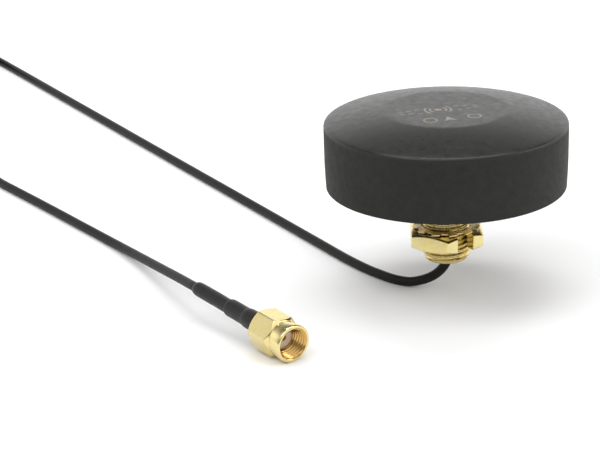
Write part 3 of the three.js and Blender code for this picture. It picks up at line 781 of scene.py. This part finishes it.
# ---- toothed washer, with its teeth twisted --------------------------------------------------
SHEET_Z0 = -9.32
SHEET_Z1 = -8.96
WASHER_ROOT_R = 6.25
TOOTH_SHARE = 0.5  # of the distance from one tooth to the next
TOOTH_LIFT = 0.125  # how far a twisted tooth's edges stand up and down
SHARES = (0.0, 0.03, 0.14, 0.25, 0.36, 0.47, 0.5, 0.56, 0.65, 0.75, 0.85, 0.94)
rng = random.Random(5)
twist = [rng.uniform(0.85, 1.0) for _ in range(WASHER_TEETH)]
angles, reach, lift = [], [], []
for k in range(WASHER_TEETH):
    for share in SHARES:
        angles.append((k + share) * TAU / WASHER_TEETH)
        if share > TOOTH_SHARE:
            reach.append(WASHER_ROOT_R + 0.24 * abs(share - 0.75))
            lift.append(0)
            continue
        on_corner = share in (0, TOOTH_SHARE)
        reach.append(WASHER_OUT_R - 0.08 if on_corner else WASHER_OUT_R)
        lift.append(TOOTH_LIFT * twist[k] * (share - TOOTH_SHARE / 2) / (TOOTH_SHARE / 2))


def washer_side(z, inwards):
    """One flat side, from the bore out. inwards is the way from it into the sheet."""
    return [
        (WASHER_IN_R, z + 0.04 * inwards), (WASHER_IN_R + 0.05, z), (5.9, z),
        (lambda i: min(reach[i], 6.5), lambda i: z + lift[i] * 0.35),
        (lambda i: reach[i] - 0.05, lambda i: z + lift[i]),
        (lambda i: reach[i], lambda i: z + 0.05 * inwards + lift[i]),
    ]


section = washer_side(SHEET_Z0, 1) + washer_side(SHEET_Z1, -1)[::-1]
washer = Rings(angles).closed(section)
piece("toothed_washer", *washer, "washer_brass", WASHER.m, "washer", sharp=30, stands_for=["lock_washer"])

# ---- slotted hexagonal nut -------------------------------------------------------------------
angles, radii = hexagon(NUT_FLATS, NUT_TURN, 0.3, 12)
b = Rings(angles)
NUT_TOP_R = 7.0  # round faces inside the chamfers
NUT_FOOT_R = 7.3
NUT_TOP_FALL = 0.75 / 1.61  # drop of the chamfer over its run
NUT_FOOT_RISE = 0.62 / 1.31


def up_edge(i):
    return NUT_Z1 - NUT_TOP_FALL * (radii[i] - NUT_TOP_R)


def down_edge(i):
    return NUT_Z0 + NUT_FOOT_RISE * (radii[i] - NUT_FOOT_R)


NUT_THREAD = [
    (0.0, 5.07), (0.03, 5.04), (0.12, 5.04), (0.15, 5.07),
    (0.42, 5.42), (0.47, 5.45), (0.66, 5.45), (0.71, 5.42),
]
NUT_MOUTH_R = 5.62


def countersunk(r, z):
    return max(r, NUT_MOUTH_R - min(NUT_Z1 - z, z - NUT_Z0))


low, high = b.thread(NUT_THREAD, STUD_PITCH, NUT_Z0, NUT_Z1, countersunk)
last = b.through([
    (NUT_TOP_R - 0.1, NUT_Z1), (NUT_TOP_R, NUT_Z1 - 0.012),
    (lambda i: radii[i] - 0.09, lambda i: up_edge(i) + 0.035),
    (lambda i: radii[i] - 0.025, lambda i: up_edge(i) - 0.02),
    (lambda i: radii[i], lambda i: up_edge(i) - 0.1),
    (lambda i: radii[i], lambda i: up_edge(i) - 0.2),
    (lambda i: radii[i], lambda i: down_edge(i) + 0.2),
    (lambda i: radii[i], lambda i: down_edge(i) + 0.1),
    (lambda i: radii[i] - 0.025, lambda i: down_edge(i) + 0.02),
    (lambda i: radii[i] - 0.09, lambda i: down_edge(i) - 0.035),
    (NUT_FOOT_R, NUT_Z0 + 0.012), (NUT_FOOT_R - 0.1, NUT_Z0),
], high)
b.bridge(last, low)
nut = piece("nut_blank", b.v, b.f, "gold_brass", GOLD.m, "nut")
# the slot, through the flat that follows the first corner, with its outer edges broken
slot = [(3.9, -1.9), (7.26, -1.9), (7.36, -1.93), (7.46, -2.02), (7.5, -2.12), (11, -2.3)]
slot += [(x, -y) for x, y in reversed(slot)]
c, d = math.cos(NUT_TURN + math.pi / 6), math.sin(NUT_TURN + math.pi / 6)
slot = prism([(x * c - y * d, x * d + y * c) for x, y in slot], NUT_Z0 - 1.45, NUT_Z1 + 1)
cut("nut_slotted", nut, [slot], "gold_brass", GOLD.m, "nut", 38, ["panel_nut"])

# ---- plug ------------------------------------------------------------------------------------
angles, radii = hexagon(PLUG_FLATS, PLUG_HEX_TURN, 0.18, 12)
b = Rings(angles)
NECK_R = 3.62
NECK_Z = -3.4  # where the round collar meets the hexagon
FRONT_FALL = 0.95
TAIL_R = 3.2
TAIL_RISE = 0.95 / 1.19


def front_edge(i):
    return NECK_Z - FRONT_FALL * (radii[i] - NECK_R)


def tail_edge(i):
    return -PLUG_NUT_LENGTH + TAIL_RISE * (radii[i] - TAIL_R)


def plug_mouth(r, z):
    return max(r, 3.42 + z * 1.6)


COUPLING_THREAD = [
    (0.0, 2.9), (0.03, 2.87), (0.1, 2.87), (0.13, 2.9),
    (0.44, 3.14), (0.5, 3.17), (0.66, 3.17), (0.72, 3.14),
]
low, high = b.thread(COUPLING_THREAD, PLUG_PITCH, -4.2, -0.04, plug_mouth)
front = b.bridge(high, b.ring(3.48, 0))
last = b.through([
    (3.64, 0.0), (3.74, -0.03), (3.83, -0.12), (3.87, -0.28), (3.87, -1.1), (3.76, -2.2), (3.64, -3.1),
    (NECK_R, NECK_Z + 0.05), (NECK_R + 0.01, NECK_Z + 0.01), (NECK_R + 0.04, NECK_Z - 0.01),
    (lambda i: radii[i] - 0.06, lambda i: front_edge(i) + 0.055),
    (lambda i: radii[i] - 0.02, lambda i: front_edge(i) + 0.005),
    (lambda i: radii[i], lambda i: front_edge(i) - 0.05),
    (lambda i: radii[i], lambda i: front_edge(i) - 0.14),
    (lambda i: radii[i], lambda i: tail_edge(i) + 0.16),
    (lambda i: radii[i], lambda i: tail_edge(i) + 0.08),
    (lambda i: radii[i] - 0.02, lambda i: tail_edge(i) + 0.02),
    (lambda i: radii[i] - 0.07, lambda i: tail_edge(i) - 0.04),
    (3.24, -9.97), (3.16, -10), (2.62, -10), (2.53, -9.97), (2.5, -9.9), (2.5, -7.9), (2.95, -7.9),
    (2.95, -5.6), (3.12, -5.5), (3.14, -4.4),
], front)
b.bridge(last, low)
coupling = piece(
    "coupling_turned", b.v, b.f, "gold_brass", GOLD_PLUG.m, "coupling", plug_frame, 38, ["coupling_nut"]
)
# the faces in the bore take a darker, deeper gold than the outside
coupling.data.materials.append(GOLD_BORE.m)
axis = plug_frame.to_3x3() @ Vector((0, 0, 1))
for face in coupling.data.polygons:
    out_way = face.center - PLUG * MM
    along = out_way.dot(axis)
    if (out_way - axis * along).length < 3.4 * MM and -4.3 * MM < along < -0.05 * MM:
        face.material_index = 1


def on_plug(name, mesh, slot, shader, stands_for=()):
    """A fixed piece given along the plug's axis, from its open end backwards."""
    return piece(name, *mesh, slot, shader.m, "antenna", plug_frame, 35, stands_for)


def shrunk(corners, sides, wave, seed):
    """A closed ring whose outside is a little uneven, as shrunk tube is."""
    c = Rings(even(sides))

    def radius(r, z):
        return lambda i: r + wave * noise.noise(
            Vector((math.cos(c.angles[i]) * 1.1, math.sin(c.angles[i]) * 1.1, z * 0.35 + seed))
        )

    return c.closed([(radius(r, z), z) for r, z in fillets(corners, closed=True)])


body = on_plug("plug_inner", closed_ring([
    (2.1, -3.2, 0.04), (2.35, -3.2, 0.08), (2.35, -4.9), (2.85, -5, 0.05), (2.85, -5.9, 0.05),
    (2.4, -5.9), (2.4, -9.3, 0.15), (1.5, -9.3), (1.5, -12.6), (1.1, -12.6), (1.1, -7.9), (0.9, -7.9),
    (0.9, -6.2), (2.1, -6.2),
], 72), "gold_brass", GOLD_PLUG, ["plug_body"])
seal = on_plug("plug_sealing_ring", closed_ring([
    (2.42, -4.8, 0.1), (3.02, -4.8, 0.1), (3.02, -4.3, 0.15), (2.42, -4.3, 0.15),
], 64), "seal_rubber", RUBBER, ["plug_gasket"])
dielectric = on_plug("plug_dielectric", closed_ring([
    (0.66, -3.25, 0.05), (2.03, -3.25, 0.06), (2.03, -6.15), (0.66, -6.15),
], 64), "insulator", PTFE, ["plug_insulator"])

SOCKET_TAIL_Z = -7.6
SOCKET_FLOOR_Z = -6.4
b = Rings(even(40))
first = b.ring(0.44, -3.3)
last = b.through([(0.56, -3.3), (0.6, -3.36), (0.6, -7.5), (0.5, SOCKET_TAIL_Z)], first)
b.centre(last, SOCKET_TAIL_Z)
last = b.through([(0.42, -3.34), (0.42, SOCKET_FLOOR_Z)], first)
b.centre(last, SOCKET_FLOOR_Z)
blank = on_plug("socket_blank", (b.v, b.f), "gold_brass", GOLD_PLUG)
slits = []
for a in (20, 110):
    v, f = box_mesh(-1, 1, -0.07, 0.07, -5.6, -3.0)
    m = plug_frame @ Matrix.Rotation(math.radians(a), 4, "Z")
    slits.append(([tuple(m @ Vector(q)) for q in v], f))
socket = cut("contact_socket", blank, slits, "gold_brass", GOLD_PLUG.m, "antenna", 35, ["plug_socket"])

outer = [(1.9, -9.5, 0.02), (2.05, -9.5, 0.04)]
outer += [(2.05, z) for z in (-9.9, -10.6, -11.3, -12, -12.7)]
outer += [(2.04, -13.4), (2.04, -14), (2.02, -14.3), (1.94, -14.7), (1.87, -15), (1.835, -15.5)]
outer += [(1.83, z) for z in (-16.2, -17, -17.8, -18.6, -19.4)]
outer += [(1.825, -20), (1.8, -20.4), (1.73, -20.62), (1.63, -20.7), (1.57, -20.66)]
outer += [(1.57, -14.8), (1.9, -14.1)]
sleeve = on_plug("shrink_outer", shrunk(outer, 64, 0.05, 3.0), "shrink_sleeve", SHRINK, ["outer_sleeve"])
inner = [(1.03, -14.6), (1.4, -14.75), (1.48, -15)]
inner += [(1.5, -15 - 0.92 * k) for k in range(1, 17)]
inner += [(1.49, -30.7), (1.45, -31.3), (1.36, -31.75), (1.22, -32.02), (1.08, -32.1), (1.03, -32.06)]
thin = on_plug("shrink_inner", shrunk(inner, 56, 0.035, 9.0), "shrink_sleeve", SHRINK, ["inner_sleeve"])

# ---- tie round the stored turns --------------------------------------------------------------
BAND_CORNER = 0.35
BAND_IN = (0.06, 1.2)  # how far out of the corner's curve, and half the width there
BAND_OUT = (0.25, 1.12)
v, f = [], []
for x, z, start in ((23.6, -16.35, 0), (11.8, -16.35, 90), (11.8, -22.9, 180), (23.6, -22.9, 270)):
    for s in range(6):
        a = math.radians(start + 18 * s)
        for (out_by, half), side in ((BAND_IN, -1), (BAND_IN, 1), (BAND_OUT, 1), (BAND_OUT, -1)):
            r = BAND_CORNER + out_by
            v.append((x + r * math.cos(a), side * half, z + r * math.sin(a)))
for i in range(0, len(v), 4):
    j = (i + 4) % len(v)
    for k in range(4):
        m = (k + 1) % 4
        f.append((i + k, j + k, j + m, i + m))
lock = box_mesh(16.2, 19.4, -1.75, 1.75, -16.0, -15.0)
loose_end = box_mesh(14.2, 16.3, -1.05, 1.05, -15.72, -15.5)
place = Matrix.Translation(Vector((COIL_X, COIL_Y, 0))) @ Matrix.Rotation(math.radians(115), 4, "Z")
tie = piece(
    "coil_strap", *joined([(v, f), lock, loose_end]), "seal_rubber", RUBBER.m, "antenna", place, 30,
    ["coil_tie"],
)

# ---- inside the housing ----------------------------------------------------------------------
INNER_BEND = 4
BEND_Z = 2.2
inner_points = [(0, 0, z) for z in (-12.35, -8, -4, 0, BEND_Z)]
for a in map(math.radians, (22.5, 45, 67.5, 90)):
    inner_points.append((INNER_BEND * (math.cos(a) - 1), 0, BEND_Z + INNER_BEND * math.sin(a)))
inner_points.append((-8, 0, BEND_Z + INNER_BEND))
piece(
    "inside_lead", *round_tube(followed(inner_points, 1.5), CORD_D / 2, 16), "cable_jacket", JACKET.m,
    sharp=60, stands_for=["inner_lead"],
)

FOAM_Z0 = 12.99
v, f = closed_ring([(4.6, FOAM_Z0, 0.2), (8.4, FOAM_Z0, 0.2), (8.4, 14.5, 0.3), (4.6, 14.5, 0.3)], 72)


def uneven_top(x, y, z):
    lift = 0.03 * noise.noise(Vector((x, y, z))) if z > FOAM_Z0 + 0.51 else 0
    return x, y, z + lift


piece("foam_ring", [uneven_top(*p) for p in v], f, "foam", FOAM.m, stands_for=["foam_pad"])

finishes = {
    "housing_seal": RUBBER, "stud_seal": RUBBER, "flange_keeper": STEEL, "circuit_board": BOARD,
    "board_screw_1": STEEL, "board_screw_2": STEEL, "board_screw_3": STEEL, "patch_tape": TAPE,
    "ceramic_patch": CERAMIC, "patch_electrode": SILVER, "feed_pin": TIN, "shield_can": TIN,
    "amplifier_chip": CHIP, "band_filter": LID, "lead_core": TIN, "lead_clip": TIN,
    "snap_ring": WASHER, "crimp_ferrule": GOLD_PLUG,
}
for name, shader in finishes.items():
    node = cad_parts[name]
    node.data.materials.clear()
    node.data.materials.append(shader.m)
    bevel = node.modifiers.new("edges", "BEVEL")
    bevel.width = 0.04 * MM
    bevel.segments = 2
    bevel.limit_method = "ANGLE"
    bevel.angle_limit = math.radians(50)

# ---- floor and light -------------------------------------------------------------------------
FLOOR_HALF = 6.0  # metres
corners = [(x * FLOOR_HALF, y * FLOOR_HALF, REST_Z * MM) for x, y in ((-1, -1), (1, -1), (1, 1), (-1, 1))]
mesh = bpy.data.meshes.new("floor")
mesh.from_pydata(corners, [], [(0, 1, 2, 3)])
floor = bpy.data.objects.new("floor", mesh)
bpy.context.scene.collection.objects.link(floor)
white = bpy.data.materials.new("floor_paper")
white.use_nodes = True
shader = white.node_tree.nodes["Principled BSDF"]
shader.inputs["Base Color"].default_value = (0.94, 0.94, 0.94, 1)
shader.inputs["Roughness"].default_value = 0.9
shader.inputs["Specular IOR Level"].default_value = 0.0
mesh.materials.append(white)


def softbox(name, place, width, height, power):
    """A soft light in metres and watts, aimed at the origin."""
    light = bpy.data.lights.new(name, "AREA")
    light.shape = "RECTANGLE"
    light.size = width
    light.size_y = height
    light.energy = power
    o = bpy.data.objects.new(name, light)
    bpy.context.scene.collection.objects.link(o)
    o.location = place
    o.rotation_euler = (-Vector(place)).to_track_quat("-Z", "Y").to_euler()


softbox("key", (-0.55, -0.35, 0.95), 0.6, 0.5, 2.4)
softbox("overhead", (0.05, 0.43, 1.15), 1.0, 0.26, 4.2)
softbox("top", (0.0, -0.15, 1.2), 0.6, 0.4, 1.2)
softbox("side", (0.95, -0.1, 0.45), 0.5, 0.6, 2.4)

# grey levels of the surroundings by height, 0 level with the object and 1 overhead
SKY_FRONT = ((0, 0.3), (0.35, 0.3), (0.55, 0.9), (0.8, 1.3), (1, 0.8))
SKY_REAR = ((0, 0.95), (0.2, 1.2), (0.38, 1.2), (0.52, 0.55), (0.66, 0.2), (0.85, 0.15), (1, 0.5))
world = bpy.data.worlds.new("studio")
bpy.context.scene.world = world
world.use_nodes = True
tree = world.node_tree
tree.nodes.clear()
out = tree.nodes.new("ShaderNodeOutputWorld")
sky = tree.nodes.new("ShaderNodeBackground")
where = tree.nodes.new("ShaderNodeTexCoord")
way = tree.nodes.new("ShaderNodeSeparateXYZ")
tree.links.new(where.outputs["Generated"], way.inputs[0])


def grey_ramp(levels):
    ramp = tree.nodes.new("ShaderNodeValToRGB")
    tree.links.new(way.outputs[2], ramp.inputs[0])
    stops = ramp.color_ramp.elements
    stops[0].color = (*[levels[0][1]] * 3, 1)
    stops[1].color = (*[levels[-1][1]] * 3, 1)
    for at, level in levels[1:-1]:
        stops.new(at).color = (level, level, level, 1)
    return ramp.outputs[0]


rear = tree.nodes.new("ShaderNodeMapRange")
rear.interpolation_type = "SMOOTHSTEP"
rear.inputs["From Min"].default_value = -0.2
rear.inputs["From Max"].default_value = 0.35
tree.links.new(way.outputs[1], rear.inputs[0])
both = tree.nodes.new("ShaderNodeMix")
both.data_type = "RGBA"
tree.links.new(rear.outputs[0], both.inputs[0])
tree.links.new(grey_ramp(SKY_FRONT), both.inputs[6])
tree.links.new(grey_ramp(SKY_REAR), both.inputs[7])
tree.links.new(both.outputs[2], sky.inputs["Color"])
tree.links.new(sky.outputs[0], out.inputs[0])
sky.inputs["Strength"].default_value = 1.12
bpy.context.scene.view_settings.view_transform = "Standard"
